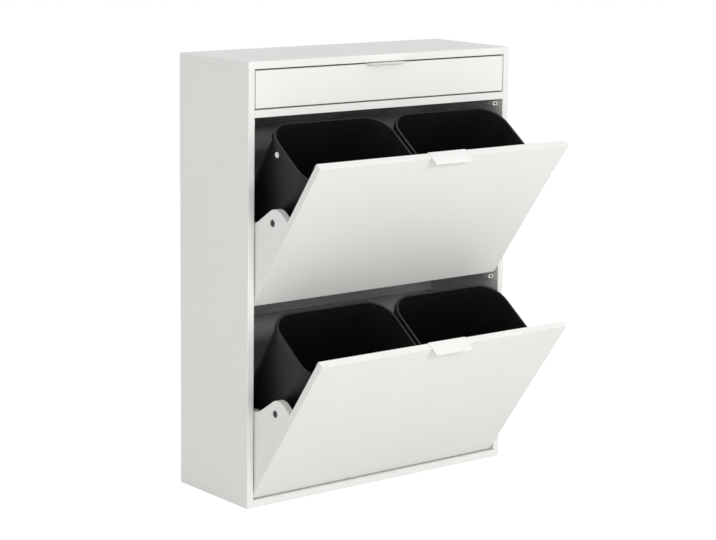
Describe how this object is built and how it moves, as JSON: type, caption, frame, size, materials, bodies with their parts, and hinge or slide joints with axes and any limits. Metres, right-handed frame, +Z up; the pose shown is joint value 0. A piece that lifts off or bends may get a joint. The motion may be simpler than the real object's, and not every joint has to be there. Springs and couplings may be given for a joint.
{
  "type": "tilt-out bin cabinet",
  "caption": "Slim upright floor cabinet with a shallow drawer above tilt-out doors that carry black open-top bins.",
  "frame": {"origin": "centre of the footprint, on the floor", "axes": "+Z up, -Y towards the front with the drawer and doors, +X to the right as seen from the front"},
  "size_m": [0.68, 0.4767, 0.9],
  "materials": {
    "white_board": "satin white melamine on board",
    "white_hardboard": "white lacquered hardboard",
    "black_plastic": "satin black polypropylene",
    "white_plastic": "white moulded plastic",
    "white_nylon": "natural white nylon",
    "white_steel": "white powder coat",
    "steel": "zinc-plated steel",
    "zinc": "die-cast zinc",
    "magnet": "dark nickel",
    "beech": "plain beech"
  },
  "bodies": {
    "cabinet": {"left_side": "white_board", "right_side": "white_board", "top_panel": "white_board", "bottom_panel": "white_board", "drawer_shelf": "white_board", "rear_stretcher": "white_board", "wall_rail": "white_board", "back_panel": "white_hardboard", "back_nails": "steel", "case_cams": "zinc", "case_bolts": "steel", "case_dowels": "beech", "pivot_bushes": "white_nylon", "stop_studs": "white_nylon", "catches": "white_plastic", "catch_magnets": "magnet", "runner_outer": "white_steel", "runner_screws": "steel"},
    "drawer": {"drawer_front": "white_board", "drawer_left": "white_board", "drawer_right": "white_board", "drawer_back": "white_board", "drawer_bottom": "white_hardboard", "drawer_cams": "zinc", "drawer_bolts": "steel", "drawer_screws": "steel", "drawer_pull": "white_steel", "drawer_pull_screws": "steel", "runner_inner": "white_steel"},
    "upper_unit": {"upper_door": "white_board", "upper_left_wing": "white_board", "upper_right_wing": "white_board", "upper_tray": "white_board", "upper_tray_rail": "white_board", "upper_wing_cams": "zinc", "upper_wing_bolts": "steel", "upper_wing_dowels": "beech", "upper_tray_screws": "steel", "upper_pivot_pins": "steel", "upper_strikes": "steel", "upper_pull": "white_steel", "upper_pull_screws": "steel"},
    "upper_left_bin_body": {"upper_left_bin": "black_plastic", "bin_plug": "white_plastic"},
    "upper_right_bin_body": {"upper_right_bin": "black_plastic"},
    "lower_unit": {"lower_door": "white_board", "lower_left_wing": "white_board", "lower_right_wing": "white_board", "lower_tray": "white_board", "lower_tray_rail": "white_board", "lower_wing_cams": "zinc", "lower_wing_bolts": "steel", "lower_wing_dowels": "beech", "lower_tray_screws": "steel", "lower_pivot_pins": "steel", "lower_strikes": "steel", "lower_pull": "white_steel", "lower_pull_screws": "steel"},
    "lower_left_bin_body": {"lower_left_bin": "black_plastic"},
    "lower_right_bin_body": {"lower_right_bin": "black_plastic"}
  },
  "joints": [
    {"name": "drawer_slide", "type": "slide", "parent": "cabinet", "child": "drawer", "axis": [0, 1, 0], "range_m": [-0.15, 0]},
    {"name": "upper_tilt", "type": "hinge", "parent": "cabinet", "child": "upper_unit", "pos_m": [0, -0.1125, 0.43], "axis": [1, 0, 0], "range_deg": [-36, 0]},
    {"name": "upper_left_bin_lift", "type": "slide", "parent": "upper_unit", "child": "upper_left_bin_body", "axis": [0, -0.5878, 0.809], "range_m": [0, 0.3]},
    {"name": "upper_right_bin_lift", "type": "slide", "parent": "upper_unit", "child": "upper_right_bin_body", "axis": [0, -0.5878, 0.809], "range_m": [0, 0.3]},
    {"name": "lower_tilt", "type": "hinge", "parent": "cabinet", "child": "lower_unit", "pos_m": [0, -0.1125, 0.033], "axis": [1, 0, 0], "range_deg": [-36, 0]},
    {"name": "lower_left_bin_lift", "type": "slide", "parent": "lower_unit", "child": "lower_left_bin_body", "axis": [0, -0.5878, 0.809], "range_m": [0, 0.3]},
    {"name": "lower_right_bin_lift", "type": "slide", "parent": "lower_unit", "child": "lower_right_bin_body", "axis": [0, -0.5878, 0.809], "range_m": [0, 0.3]}
  ]
}
